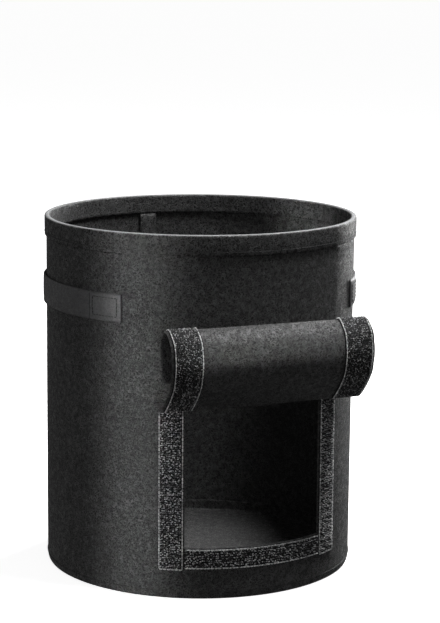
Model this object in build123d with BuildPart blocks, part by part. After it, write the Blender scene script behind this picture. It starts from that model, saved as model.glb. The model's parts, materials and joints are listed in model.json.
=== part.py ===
from build123d import *

import os
from math import cos, degrees, radians, sin, tan

os.makedirs("parts", exist_ok=True)

# Fabric grow bag with a roll-up harvest window, in millimetres. The bag stands on Z = 0
# about the Z axis, the window faces -Y and the handles are on -X and +X.

# Bag body
radius = 175.0  # outside of the felt wall
height = 400.0  # top of the rim binding
felt = 2.5  # thickness of the needle-punched felt
front = -90.0  # direction of the window, in degrees about Z
back = 90.0
inner_radius = radius - felt
seam_allowance = 12.0  # edge of the base disc, turned up inside the wall
seam_gap = 0.1  # between the base disc and the wall
thread = 0.8  # width of a row of stitches
thread_proud = 0.4  # how far a row of stitches stands out of the cloth

# Rim
binding_height = 22.0
binding_thickness = 2.0
rim_stitch_rise = 3.0  # from the binding's lower edge to its stitches
wall_top = height - binding_thickness

# Back seam
lap_half_width = 10.0
lap_bottom = seam_allowance + 2 * felt
lap_top = height - binding_height - 1.0
base_stitch_height = 8.0

# Harvest window and the hook tapes round it, measured along the wall
window_half_width = 83.0
window_bottom = 57.0
window_top = 214.0
hook_tape = 1.6
hook_tape_width = 28.0
side_tape_bottom = 32.0
bottom_tape_bottom = 34.0
stitch_inset = 2.0  # from a tape's edge to its stitches

# Strip that holds the flap's top edge on the wall
strip_thickness = 2.0
strip_half_width = 117.0
strip_bottom = 218.5
strip_height = 9.5

# Roll-up flap. Its felt is cut into straight sections, hinged on the felt's middle surface.
# Each angle is that of one rolled section, from straight out (0) through up (90) and back
# to the wall (180) to down inside the roll (270).
flap_half_width = 116.0
hinge_out = 180.5  # from the bag's axis out to the flap's first bend
hinge_height = 217.0
section_length = 22.3
roll_angles = (43, 52, 78, 100, 142, 222, 276, 292)
section_gap = 0.15  # left at each end of a section
first_gap = 1.5  # left on both sides of the first bend, which turns both ways
loop_tape = 1.5
loop_tape_width = 35.0
loop_tape_inset = 1.5  # from the flap's side edge

# Strap handles
strap = 2.5
strap_width = 30.0
handle_height = 317.5  # middle of the strap
handle_half_span = 121.0  # from the middle of a handle to its sewn end, along the wall
sewn_length = 42.0
strap_gap = 0.4  # round the free middle of the strap
box_stitch_inset = 5.0
handle_sides = {"left": 180.0, "right": 0.0}


def turn(arc_length):
    """Angle about Z, in degrees, that a length along the wall's outside takes."""
    return degrees(arc_length / radius)


def band_outline(inside, outside, middle, half_turn):
    """Sector of a ring, seen from above: a strip that follows the wall."""
    with BuildSketch() as outline:
        with BuildLine():
            start = middle - half_turn
            outer = CenterArc((0, 0), outside, start, 2 * half_turn)
            inner = CenterArc((0, 0), inside, start, 2 * half_turn)
            Line(outer @ 0, inner @ 0)
            Line(outer @ 1, inner @ 1)
        make_face()
    return outline.sketch


def ring_outline(inside, outside):
    """Full ring, seen from above."""
    with BuildSketch() as outline:
        Circle(outside)
        Circle(inside, mode=Mode.SUBTRACT)
    return outline.sketch


# ---- Bag body ----

with BuildPart() as wall_panel:
    with BuildSketch():
        add(ring_outline(inner_radius, radius))
    extrude(amount=wall_top)
    with BuildSketch(Plane.XY.offset(window_bottom)):
        add(band_outline(radius - 10, radius + 10, front, turn(window_half_width)))
    extrude(amount=window_top - window_bottom, mode=Mode.SUBTRACT)
wall_panel.part.label = "wall_panel"
export_step(wall_panel.part, "parts/wall_panel.step")

with BuildPart() as base_disc:
    base_radius = inner_radius - seam_gap
    Cylinder(base_radius, felt + seam_allowance, align=(Align.CENTER, Align.CENTER, Align.MIN))
    with BuildSketch(Plane.XY.offset(felt)):
        Circle(base_radius - felt)
    extrude(amount=seam_allowance, mode=Mode.SUBTRACT)
base_disc.part.label = "base_disc"
export_step(base_disc.part, "parts/base_disc.step")

with BuildPart() as base_stitches:
    with BuildSketch(Plane.XY.offset(base_stitch_height)):
        add(ring_outline(radius, radius + thread_proud))
    extrude(amount=thread)
base_stitches.part.label = "base_stitches"
export_step(base_stitches.part, "parts/base_stitches.step")

with BuildPart() as back_seam_lap:
    with BuildSketch(Plane.XY.offset(lap_bottom)):
        add(band_outline(inner_radius - felt, inner_radius, back, turn(lap_half_width)))
    extrude(amount=lap_top - lap_bottom)
back_seam_lap.part.label = "back_seam_lap"
export_step(back_seam_lap.part, "parts/back_seam_lap.step")

with BuildPart() as back_seam_stitches:
    for side in (-1, 1):
        line = back + side * turn(lap_half_width - stitch_inset)
        with BuildSketch(Plane.XY.offset(lap_bottom)):
            add(band_outline(radius, radius + thread_proud, line, turn(thread / 2)))
        extrude(amount=lap_top - lap_bottom)
back_seam_stitches.part.label = "back_seam_stitches"
export_step(back_seam_stitches.part, "parts/back_seam_stitches.step")

# The binding is folded over the wall's top edge and reaches down both of its faces.
with BuildPart() as rim_binding:
    binding_bottom = height - binding_height
    with BuildSketch(Plane.XY.offset(binding_bottom)):
        add(ring_outline(inner_radius - binding_thickness, radius + binding_thickness))
    extrude(amount=binding_height)
    with BuildSketch(Plane.XY.offset(binding_bottom)):
        add(ring_outline(inner_radius, radius))
    extrude(amount=binding_height - binding_thickness, mode=Mode.SUBTRACT)
    top_edges = rim_binding.edges().filter_by(GeomType.CIRCLE).group_by(Axis.Z)[-1]
    fillet(top_edges, binding_thickness / 2)
rim_binding.part.label = "rim_binding"
export_step(rim_binding.part, "parts/rim_binding.step")

with BuildPart() as rim_stitches:
    stitched_face = radius + binding_thickness
    with BuildSketch(Plane.XY.offset(binding_bottom + rim_stitch_rise)):
        add(ring_outline(stitched_face, stitched_face + thread_proud))
    extrude(amount=thread)
rim_stitches.part.label = "rim_stitches"
export_step(rim_stitches.part, "parts/rim_stitches.step")

# ---- Hook tapes round the window ----

tape_face = radius + hook_tape
side_tape_middle = window_half_width + hook_tape_width / 2
for name, side in (("left", -1), ("right", 1)):
    with BuildPart() as hook_tape_side:
        with BuildSketch(Plane.XY.offset(side_tape_bottom)):
            middle = front + side * turn(side_tape_middle)
            add(band_outline(radius, tape_face, middle, turn(hook_tape_width / 2)))
        extrude(amount=window_top - side_tape_bottom)
    hook_tape_side.part.label = f"hook_tape_{name}"
    export_step(hook_tape_side.part, f"parts/hook_tape_{name}.step")

bottom_tape_half = window_half_width - seam_gap
with BuildPart() as hook_tape_bottom:
    with BuildSketch(Plane.XY.offset(bottom_tape_bottom)):
        add(band_outline(radius, tape_face, front, turn(bottom_tape_half)))
    extrude(amount=window_bottom - bottom_tape_bottom)
hook_tape_bottom.part.label = "hook_tape_bottom"
export_step(hook_tape_bottom.part, "parts/hook_tape_bottom.step")

with BuildPart() as hook_tape_stitches:
    stitch_face = tape_face + thread_proud
    for side in (-1, 1):
        for offset in (stitch_inset, hook_tape_width - stitch_inset):
            line = front + side * turn(window_half_width + offset)
            with BuildSketch(Plane.XY.offset(side_tape_bottom + stitch_inset)):
                add(band_outline(tape_face, stitch_face, line, turn(thread / 2)))
            extrude(amount=window_top - side_tape_bottom - 2 * stitch_inset)
    for level in (bottom_tape_bottom + stitch_inset, window_bottom - stitch_inset - thread):
        with BuildSketch(Plane.XY.offset(level)):
            add(band_outline(tape_face, stitch_face, front, turn(bottom_tape_half - stitch_inset)))
        extrude(amount=thread)
hook_tape_stitches.part.label = "hook_tape_stitches"
export_step(hook_tape_stitches.part, "parts/hook_tape_stitches.step")

# ---- Top edge of the flap, sewn on the wall ----

with BuildPart() as flap_seam_strip:
    with BuildSketch(Plane.XY.offset(strip_bottom)):
        add(band_outline(radius, radius + strip_thickness, front, turn(strip_half_width)))
    extrude(amount=strip_height)
flap_seam_strip.part.label = "flap_seam_strip"
export_step(flap_seam_strip.part, "parts/flap_seam_strip.step")

with BuildPart() as flap_seam_stitches:
    strip_face = radius + strip_thickness
    for level in (strip_bottom + stitch_inset, strip_bottom + strip_height - stitch_inset - thread):
        with BuildSketch(Plane.XY.offset(level)):
            stitched_half = turn(strip_half_width - stitch_inset)
            add(band_outline(strip_face, strip_face + thread_proud, front, stitched_half))
        extrude(amount=thread)
flap_seam_stitches.part.label = "flap_seam_stitches"
export_step(flap_seam_stitches.part, "parts/flap_seam_stitches.step")

# The flap's felt leaves the curved wall and becomes straight at its first bend.
with BuildPart() as flap_top_edge:
    with BuildSketch(Plane.XY.offset(hinge_height - felt / 2)):
        with BuildLine():
            wall_turn = turn(strip_half_width)
            on_wall = CenterArc((0, 0), radius, front - wall_turn, 2 * wall_turn)
            straight_out = -(hinge_out - first_gap)
            left_corner = (-flap_half_width, straight_out)
            right_corner = (flap_half_width, straight_out)
            Polyline(on_wall @ 0, left_corner, right_corner, on_wall @ 1)
        make_face()
    extrude(amount=felt)
flap_top_edge.part.label = "flap_top_edge"
export_step(flap_top_edge.part, "parts/flap_top_edge.step")

# ---- Flap, rolled up ----

# Positions in the side view: distance out from the bag's axis, and height.
section_out = hinge_out
section_height = hinge_height
last = len(roll_angles)
for number, angle in enumerate(roll_angles, start=1):
    out_step = cos(radians(angle))
    up_step = sin(radians(angle))
    # In this plane X runs along the section and Y points to the side with the loop tape.
    section_plane = Plane(
        origin=(0, -section_out, section_height), x_dir=(0, -out_step, up_step), z_dir=(1, 0, 0)
    )
    bend_before = 0 if number == 1 else angle - roll_angles[number - 2]
    bend_after = 0 if number == last else roll_angles[number] - angle
    start = first_gap if number == 1 else section_gap
    end = section_length if number == last else section_length - section_gap
    # The side inside the roll is cut back, so that the sections meet edge to edge when rolled.
    start_inside = start + felt / 2 * tan(radians(bend_before / 2))
    end_inside = end - felt / 2 * tan(radians(bend_after / 2))

    with BuildPart() as flap_section:
        with BuildSketch(section_plane):
            with BuildLine():
                Polyline(
                    (start, 0), (start, felt / 2), (end, felt / 2), (end, 0),
                    (end_inside, -felt / 2), (start_inside, -felt / 2), close=True,
                )
            make_face()
        extrude(amount=flap_half_width, both=True)
    flap_section.part.label = f"flap_section_{number}"
    export_step(flap_section.part, f"parts/flap_section_{number}.step")

    # Loop tape down both sides, and across the flap's lower edge on the last section.
    with BuildPart() as flap_tape:
        tape_inside = flap_half_width - loop_tape_width
        with BuildSketch(section_plane.offset(tape_inside)):
            with Locations(((start + end) / 2, (felt + loop_tape) / 2)):
                Rectangle(end - start, loop_tape)
        extrude(amount=loop_tape_width - loop_tape_inset)
        mirror(about=Plane.YZ)
        if number == last:
            with BuildSketch(section_plane):
                with Locations(((start + end) / 2, (felt + loop_tape) / 2)):
                    Rectangle(end - start, loop_tape)
            extrude(amount=tape_inside, both=True)
    flap_tape.part.label = f"flap_loop_tape_{number}"
    export_step(flap_tape.part, f"parts/flap_loop_tape_{number}.step")

    section_out += section_length * out_step
    section_height += section_length * up_step

# ---- Handles ----

strap_bottom = handle_height - strap_width / 2
patch_offset = turn(handle_half_span - sewn_length / 2)
for side_name, side_turn in handle_sides.items():
    # Seen from above, turning towards the front is anticlockwise on the left side only.
    to_front = 1 if side_name == "left" else -1
    for end_name, way in (("front", to_front), ("back", -to_front)):
        with BuildPart() as handle_end:
            with BuildSketch(Plane.XY.offset(strap_bottom)):
                middle = side_turn + way * patch_offset
                add(band_outline(radius, radius + strap, middle, turn(sewn_length / 2)))
            extrude(amount=strap_width)
        handle_end.part.label = f"handle_{side_name}_{end_name}_end"
        export_step(handle_end.part, f"parts/handle_{side_name}_{end_name}_end.step")

    with BuildPart() as handle_grip:
        with BuildSketch(Plane.XY.offset(strap_bottom)):
            free_half = turn(handle_half_span - sewn_length - strap_gap)
            grip_inside = radius + strap_gap
            add(band_outline(grip_inside, grip_inside + strap, side_turn, free_half))
        extrude(amount=strap_width)
    handle_grip.part.label = f"handle_{side_name}_grip"
    export_step(handle_grip.part, f"parts/handle_{side_name}_grip.step")

# A rectangle of stitches holds each sewn end.
with BuildPart() as handle_stitches:
    sewn_face = radius + strap
    box_half = sewn_length / 2 - box_stitch_inset
    box_bottom = strap_bottom + box_stitch_inset
    box_height = strap_width - 2 * box_stitch_inset
    for side_turn in handle_sides.values():
        for way in (-1, 1):
            middle = side_turn + way * patch_offset
            for level in (box_bottom, box_bottom + box_height - thread):
                with BuildSketch(Plane.XY.offset(level)):
                    add(band_outline(sewn_face, sewn_face + thread_proud, middle, turn(box_half)))
                extrude(amount=thread)
            for edge in (-1, 1):
                line = middle + edge * turn(box_half - thread / 2)
                with BuildSketch(Plane.XY.offset(box_bottom)):
                    add(band_outline(sewn_face, sewn_face + thread_proud, line, turn(thread / 2)))
                extrude(amount=box_height)
handle_stitches.part.label = "handle_stitches"
export_step(handle_stitches.part, "parts/handle_stitches.step")
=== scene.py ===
import json
import logging
import math
from collections.abc import Callable
from dataclasses import dataclass, field
from enum import Enum
from functools import partial

import bpy
import numpy as np
from mathutils import Matrix, Vector


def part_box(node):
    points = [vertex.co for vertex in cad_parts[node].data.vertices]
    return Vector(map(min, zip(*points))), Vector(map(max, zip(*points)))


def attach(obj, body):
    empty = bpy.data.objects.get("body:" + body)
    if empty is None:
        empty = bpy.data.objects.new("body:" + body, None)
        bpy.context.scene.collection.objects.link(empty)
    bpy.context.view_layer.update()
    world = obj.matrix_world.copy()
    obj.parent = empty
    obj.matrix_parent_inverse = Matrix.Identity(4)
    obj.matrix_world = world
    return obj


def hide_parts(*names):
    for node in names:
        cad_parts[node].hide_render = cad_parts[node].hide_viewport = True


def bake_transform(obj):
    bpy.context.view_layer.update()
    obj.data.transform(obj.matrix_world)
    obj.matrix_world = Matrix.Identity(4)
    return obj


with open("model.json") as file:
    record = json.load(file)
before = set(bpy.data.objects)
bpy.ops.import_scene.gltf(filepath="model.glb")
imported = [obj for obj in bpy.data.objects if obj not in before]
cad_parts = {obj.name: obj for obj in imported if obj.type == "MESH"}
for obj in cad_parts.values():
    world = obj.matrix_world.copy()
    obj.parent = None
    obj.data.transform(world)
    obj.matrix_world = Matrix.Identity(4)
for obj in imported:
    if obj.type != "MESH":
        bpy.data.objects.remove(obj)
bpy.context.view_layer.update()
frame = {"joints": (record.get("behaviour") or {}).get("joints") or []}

MM = 0.001
LEAST_FLAT = 10.1 * MM  # narrowest cut of a sheet; the flap's strips are compared with it, and the result is not used
ROOT = 0.1 * MM  # depth of hooks and loops in their woven ground
log = logging.getLogger("grow_bag")


# ---- Meshes ----

@dataclass
class Solid:
    """Closed surface made of four-sided faces, with a flat cloth coordinate and a tone at each point."""

    points: np.ndarray
    quads: np.ndarray
    uv: np.ndarray
    tone: np.ndarray

    @staticmethod
    def join(solids: list["Solid"]) -> "Solid":
        """Puts several solids into one.

        Args:
            solids: The solids, which stay separate inside the result.

        Returns:
            One solid with all their points and faces.
        """
        sizes = [len(solid.points) for solid in solids]
        offsets = np.concatenate([[0], np.cumsum(sizes)[:-1]])
        return Solid(
            np.concatenate([solid.points for solid in solids]),
            np.concatenate([solid.quads + start for solid, start in zip(solids, offsets)]),
            np.concatenate([solid.uv for solid in solids]),
            np.concatenate([solid.tone for solid in solids]),
        )

    def facing_out(self) -> "Solid":
        """Turns every face round if the surface encloses a negative volume.

        Returns:
            The same solid with faces that point outwards.
        """
        a, b, c, d = (self.points[self.quads[:, corner]] for corner in range(4))
        volume = (np.cross(a, b) * c).sum() + (np.cross(a, c) * d).sum()
        if volume < 0:
            self.quads = self.quads[:, ::-1]
        return self

    def make(self, name: str, material: bpy.types.Material, sharp_deg: float = 75.0) -> bpy.types.Object:
        """Makes the Blender object.

        Args:
            name: Name of the piece.
            material: Its finish.
            sharp_deg: Edges that turn by more than this stay sharp.

        Returns:
            The object, at the origin, with its place in its mesh.
        """
        mesh = bpy.data.meshes.new(name)
        mesh.from_pydata(self.points.tolist(), [], self.quads.tolist())
        mesh.polygons.foreach_set("use_smooth", np.ones(len(self.quads), bool))
        layer = mesh.uv_layers.new(name="cloth")
        corners = np.zeros(len(mesh.loops), np.int32)
        mesh.loops.foreach_get("vertex_index", corners)
        layer.data.foreach_set("uv", self.uv[corners].astype(np.float32).ravel())
        shade = mesh.attributes.new("tone", "FLOAT", "POINT")
        shade.data.foreach_set("value", self.tone.astype(np.float32))
        mesh.set_sharp_from_angle(angle=math.radians(sharp_deg))
        mesh.materials.append(material)
        mesh.update()
        made = bpy.data.objects.new(name, mesh)
        bpy.context.scene.collection.objects.link(made)
        log.info("%s: %d faces", name, len(self.quads))
        return made


def cloth_shell(
    outer: np.ndarray,
    inner: np.ndarray,
    uv: np.ndarray,
    keep: np.ndarray | None = None,
    wrap: bool = False,
    flat_ends: bool = False,
) -> Solid:
    """Closed piece of cloth between two faces given on one grid.

    The rim runs from the outer face to the inner one over a line halfway between them, which is
    pushed out along the cloth by a third of its thickness, so that a cut edge looks rounded.

    Args:
        outer: Points of one face, rows by columns by 3.
        inner: Points of the other face on the same grid.
        uv: Flat cloth coordinates on the same grid, in metres.
        keep: Which cells of the grid are there, or None for all of them.
        wrap: Whether the last column joins the first.
        flat_ends: Whether the first and last rows end flat, to meet the next strip.

    Returns:
        The closed solid.
    """
    rows, columns = outer.shape[:2]
    total = rows * columns
    index = np.arange(total).reshape(rows, columns)
    here, across = (index, np.roll(index, -1, axis=1)) if wrap else (index[:, :-1], index[:, 1:])
    cells = np.stack([here[:-1], across[:-1], across[1:], here[1:]], axis=-1)
    cells = (cells if keep is None else cells[keep]).reshape(-1, 4)
    starts, ends = cells.ravel(), np.roll(cells, -1, axis=1).ravel()
    border = ~np.isin(starts * total + ends, ends * total + starts)
    a, b = starts[border], ends[border]

    flat_outer, flat_inner = outer.reshape(-1, 3), inner.reshape(-1, 3)
    middle = (flat_outer + flat_inner) / 2
    push = np.zeros_like(middle)
    centres = middle[cells].mean(axis=1)
    np.add.at(push, cells, middle[cells] - centres[:, None])
    length = np.linalg.norm(push, axis=1, keepdims=True)
    push /= np.maximum(length, 1e-12)
    thickness = np.linalg.norm(flat_outer - flat_inner, axis=1, keepdims=True)
    if flat_ends:
        push[index[[0, -1]].ravel()] = 0
    rim = middle + push * thickness * 0.33

    sides = [
        np.stack([b, a, a + total, b + total], axis=-1),
        np.stack([b + total, a + total, a + 2 * total, b + 2 * total], axis=-1),
    ]
    quads = np.concatenate([cells, cells[:, ::-1] + 2 * total, *sides])
    points = np.concatenate([flat_outer, rim, flat_inner])
    flat_uv = np.tile(uv.reshape(-1, 2), (3, 1))
    used, quads = np.unique(quads, return_inverse=True)
    quads = quads.reshape(-1, 4)
    return Solid(points[used], quads, flat_uv[used], np.zeros(len(used))).facing_out()


def tube_template(path: np.ndarray, radii: np.ndarray, sides: int = 4) -> Solid:
    """Small bent rod in the XZ plane, closed at both ends.

    Each ring is a circle across the path: its centre plus the radius times the path's normal and Y.

    Args:
        path: Points of the middle line, each (x, z).
        radii: Radius at each point.
        sides: Number of sides, 4 or 6.

    Returns:
        The rod as a solid.
    """
    along = np.gradient(path, axis=0)
    along /= np.linalg.norm(along, axis=1, keepdims=True)
    normal = np.stack([-along[:, 1], along[:, 0]], axis=1)
    turn = np.arange(sides) * 2 * math.pi / sides + math.pi / sides
    offset = radii[:, None, None] * (np.cos(turn)[None, :, None] * normal[:, None, :])
    ring = np.zeros((len(path), sides, 3))
    ring[..., 0] = path[:, None, 0] + offset[..., 0]
    ring[..., 2] = path[:, None, 1] + offset[..., 1]
    ring[..., 1] = radii[:, None] * np.sin(turn)[None, :]
    index = np.arange(len(path) * sides).reshape(len(path), sides)
    after = np.roll(index, -1, axis=1)
    wall = np.stack([index[:-1], after[:-1], after[1:], index[1:]], axis=-1).reshape(-1, 4)
    first, last = index[0], index[-1]
    caps = [first[[3, 2, 1, 0]], last[[0, 1, 2, 3]]]
    if sides == 6:
        caps += [first[[5, 4, 3, 0]], last[[0, 3, 4, 5]]]
    points = ring.reshape(-1, 3)
    quads = np.concatenate([wall, np.array(caps)])
    blank = np.zeros(len(points))
    return Solid(points, quads, np.zeros((len(points), 2)), blank).facing_out()


def scatter(template: Solid, at: np.ndarray, axes: np.ndarray, tone: np.ndarray) -> Solid:
    """Copies a small shape to many places.

    A point of a copy is its place plus the template's coordinates times the copy's three axes.

    Args:
        template: The shape.
        at: Places, count by 3.
        axes: For each copy its X, Y and Z directions with their scale, count by 3 by 3.
        tone: Tone of each copy.

    Returns:
        All the copies as one solid.
    """
    count, size = len(at), len(template.points)
    points = at[:, None] + np.einsum("pk,nkc->npc", template.points, axes)
    quads = template.quads[None] + (np.arange(count) * size)[:, None, None]
    return Solid(
        points.reshape(-1, 3), quads.reshape(-1, 4), np.zeros((count * size, 2)), np.repeat(tone, size)
    )


def stitch_template(length: float, radius: float) -> Solid:
    """One stitch: a thread that dips into the cloth at both ends, with its length along X.

    Args:
        length: Length of the stitch.
        radius: Radius of the thread.

    Returns:
        The stitch as a solid.
    """
    along = np.array([-0.5, -0.36, 0.0, 0.36, 0.5]) * length
    height = np.array([-0.9, 0.25, 0.75, 0.25, -0.9]) * radius
    return tube_template(np.stack([along, height], axis=1), np.array([0.6, 1, 1, 1, 0.6]) * radius, 6)


def fasten(
    solid: Solid, name: str, material: bpy.types.Material, node: str
) -> bpy.types.Object:
    """Makes a piece that is sewn to the bag and stands for a CAD node.

    Args:
        solid: Its surface.
        name: Its name.
        material: Its finish.
        node: The CAD node.

    Returns:
        The piece.
    """
    made = solid.make(name, material)
    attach(made, "bag")
    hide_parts(node)
    return made


def mid_height(node: str) -> float:
    """Height of the middle of a CAD node."""
    low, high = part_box(node)
    return (low.z + high.z) / 2


# ---- Finishes ----

def linear(colour: str) -> tuple[float, float, float, float]:
    """Turns an sRGB hex colour such as "2b2c2e" into linear red, green, blue and alpha."""
    parts = [int(colour[place : place + 2], 16) / 255 for place in (0, 2, 4)]
    return (*(p / 12.92 if p <= 0.04045 else ((p + 0.055) / 1.055) ** 2.4 for p in parts), 1.0)


def set_inputs(node: bpy.types.Node, **inputs) -> None:
    """Sets the inputs of a node, or links them.

    Args:
        node: The node.
        inputs: Sockets by name, or by number as i6, with a value or the socket that feeds it.
    """
    for key, value in inputs.items():
        socket = node.inputs[int(key[1:]) if key[1:].isdigit() else key.replace("_", " ")]
        if isinstance(value, bpy.types.NodeSocket):
            node.id_data.links.new(value, socket)
        else:
            socket.default_value = value


def add_node(
    tree: bpy.types.NodeTree, kind: str, *values, out: int | str = 0, **named
) -> bpy.types.NodeSocket:
    """Adds a node with its settings, input values and links.

    Args:
        tree: The material's node tree.
        kind: Blender's type name of the node, after its ShaderNode.
        values: Inputs of the first sockets, in order.
        out: Name or number of the output that is asked for.
        named: Properties of the node in small letters, and the inputs that set_inputs takes.

    Returns:
        The output.
    """
    node = tree.nodes.new("ShaderNode" + kind)
    inputs = {f"i{place}": value for place, value in enumerate(values)}
    for key, value in named.items():
        if key[0].isupper() or key[1:].isdigit():
            inputs[key] = value
        else:
            setattr(node, key, value)
    set_inputs(node, **inputs)
    return node.outputs[out]


def blank_material(name: str) -> tuple[bpy.types.Material, bpy.types.Node, Callable]:
    """Makes a material.

    Args:
        name: Its name.

    Returns:
        The material, its shader, and add_node for its tree.
    """
    made = bpy.data.materials.new(name)
    made.use_nodes = True
    return made, made.node_tree.nodes["Principled BSDF"], partial(add_node, made.node_tree)


@dataclass(frozen=True)
class NeedleFelt:
    """Needle-punched polyester felt: matt, charcoal, its crimped fibres lying in short worms.

    The fibres are 0.03 mm thick, too fine to show, so the worms are drawn about 0.6 mm wide and
    2.3 mm apart, and stand proud enough to catch the light one by one.
    """

    name: str
    ground: str = "080808"
    fibre: str = "6c6c6c"
    worm_spacing_mm: float = 2.3
    patch_mm: float = 6.0
    cloud_mm: float = 70.0
    grain_mm: float = 1.3
    fibre_share: float = 0.55
    grain_share: float = 0.06
    relief_mm: float = 0.7
    # Height of the top fold that gets a painted highlight, and the colour of that highlight.
    edge_height_m: float | None = None
    edge_highlight_colour: str = "7e7f80"

    def material(self) -> bpy.types.Material:
        """Makes the material.

        Returns:
            A material on object coordinates.
        """
        made, shader, node = blank_material(self.name)
        place = node("TexCoord", out="Object")
        worm = node(
            "TexNoise", Vector=place, Scale=1000 / self.worm_spacing_mm, Detail=1.5, Roughness=0.55,
            Distortion=0.9,
        )
        # A worm lies where the noise passes its mean, and fades out between the patches.
        line = node("Math", node("Math", worm, 0.5, operation="SUBTRACT"), operation="ABSOLUTE")
        line = node("MapRange", line, From_Min=0.02, From_Max=0.12, To_Min=1.0, To_Max=0.0)
        patch = node("TexNoise", Vector=place, Scale=1000 / self.patch_mm, Detail=3.0)
        patch = node("MapRange", patch, From_Min=0.3, From_Max=0.7, To_Min=0.25)
        speck = node("Math", line, patch, operation="MULTIPLY")
        grain = node("TexNoise", Vector=place, Scale=1000 / self.grain_mm, Detail=2.0, Roughness=0.7)
        fine = node("Math", grain, self.grain_share, operation="MULTIPLY")
        share = node("Math", speck, self.fibre_share, fine, operation="MULTIPLY_ADD")
        colour = node(
            "Mix", share, i6=linear(self.ground), i7=linear(self.fibre), data_type="RGBA", out=2
        )
        cloud = node("TexNoise", Vector=place, Scale=1000 / self.cloud_mm, Detail=3.0)
        tone = node("MapRange", cloud, From_Min=0.3, From_Max=0.7, To_Min=0.82, To_Max=1.18)
        colour = node("VectorMath", colour, Scale=tone, operation="SCALE")
        if self.edge_height_m is not None:
            # Painted highlight: the fold at the top is painted paler, along a line about 1 mm high,
            # where light catches the edge.
            height = node("SeparateXYZ", place, out="Z")
            fold, highlight_start = self.edge_height_m - 0.2 * MM, self.edge_height_m - 0.9 * MM
            painted_highlight = node("MapRange", height, From_Min=highlight_start, From_Max=fold)
            uneven = node("Math", grain, 0.35, operation="ADD")
            painted_highlight = node("Math", painted_highlight, uneven, operation="MULTIPLY")
            colour = node("Mix", painted_highlight, i6=colour, i7=linear(self.edge_highlight_colour), data_type="RGBA", out=2)
        low = node("Math", grain, 0.7, operation="MULTIPLY")
        height = node("Math", speck, 0.8, low, operation="MULTIPLY_ADD")
        bump = node("Bump", Height=height, Strength=0.9, Distance=self.relief_mm * MM)
        # The raised fibres are smooth and glint, and the ground between them is dull.
        rough = node("MapRange", speck, From_Max=0.8, To_Min=0.8, To_Max=0.34)
        # Light is lost between the fibres, so the gloss is below that of solid polyester.
        set_inputs(shader, Base_Color=colour, Normal=bump, Roughness=rough, Specular_IOR_Level=0.42)
        return made


class Weave(Enum):
    """The two grounds of a tape, with the level of noise above which a raised crossing gets a painted
    glint.
    """

    HOOK_GROUND = 0.52
    LOOP_GROUND = 0.5


@dataclass(frozen=True)
class NylonTape:
    """Woven nylon ground of a touch fastener: black, with ribs along the tape and painted glints, pale
    specks on the raised crossings of the yarn.

    The yarns are 0.35 mm apart, so the ribs are drawn 1.4 mm apart to show.
    """

    name: str
    weave: Weave
    ground: str = "070708"
    yarn: str = "8b8c8e"
    rib_mm: float = 1.4
    knot_mm: float = 1.6
    yarn_end_mm: float = 1.6
    relief_mm: float = 0.4

    def material(self) -> bpy.types.Material:
        """Makes the material.

        Returns:
            A material on the cloth's own coordinates, in metres.
        """
        made, shader, node = blank_material(self.name)
        place = node("UVMap", uv_map="cloth")
        across, along = (node("SeparateXYZ", place, out=axis) for axis in "XY")
        rib = node("Math", across, 2000 * math.pi / self.rib_mm, operation="MULTIPLY")
        weft = node("Math", along, 2000 * math.pi / self.knot_mm, operation="MULTIPLY")
        rib, weft = (node("Math", wave, operation="SINE") for wave in (rib, weft))
        knot = node("Math", rib, weft, operation="MULTIPLY")
        speck = node("TexNoise", Vector=place, Scale=1000 / self.yarn_end_mm, Detail=2.0, Distortion=0.6)
        low = self.weave.value
        # Painted glint: the pale yarn colour is laid on the raised crossings where the noise is high.
        painted_glint = node("MapRange", speck, From_Min=low, From_Max=low + 0.16)
        crossing = node("MapRange", knot, From_Min=-0.2, From_Max=1.0, To_Min=0.1)
        share = node("Math", painted_glint, crossing, operation="MULTIPLY")
        colour = node(
            "Mix", share, i6=linear(self.ground), i7=linear(self.yarn), data_type="RGBA", out=2
        )
        rough = node("Math", speck, 1.2, operation="MULTIPLY")
        height = node("Math", knot, 0.4, rough, operation="MULTIPLY_ADD")
        bump = node("Bump", Height=height, Strength=1.0, Distance=self.relief_mm * MM)
        set_inputs(shader, Base_Color=colour, Normal=bump, Roughness=0.6, Specular_IOR_Level=0.2)
        return made


@dataclass(frozen=True)
class NylonFibre:
    """Monofilament or yarn: smooth plastic that gives a small highlight, each piece in its own grey; on
    the black hooks and loops the pale greys are painted glints.
    """

    name: str
    dark: str
    pale: str
    roughness: float = 0.38
    twist_mm: float = 0.8

    def material(self) -> bpy.types.Material:
        """Makes the material.

        Returns:
            A material that reads the tone of each fibre.
        """
        made, shader, node = blank_material(self.name)
        tone = node("Attribute", attribute_name="tone", out="Fac")
        place = node("TexCoord", out="Object")
        twist = node("TexNoise", Vector=place, Scale=1000 / self.twist_mm, Detail=1.0)
        # Painted light along the twist: the colour is paler where the twist noise is high.
        lit = node("Math", twist, 0.5, operation="ADD")
        share = node("Math", tone, lit, operation="MULTIPLY")
        colour = node("Mix", share, i6=linear(self.dark), i7=linear(self.pale), data_type="RGBA", out=2)
        bump = node("Bump", Height=twist, Strength=0.5, Distance=0.15 * MM)
        set_inputs(shader, Base_Color=colour, Normal=bump, Roughness=self.roughness, IOR=1.53)
        return made


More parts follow.
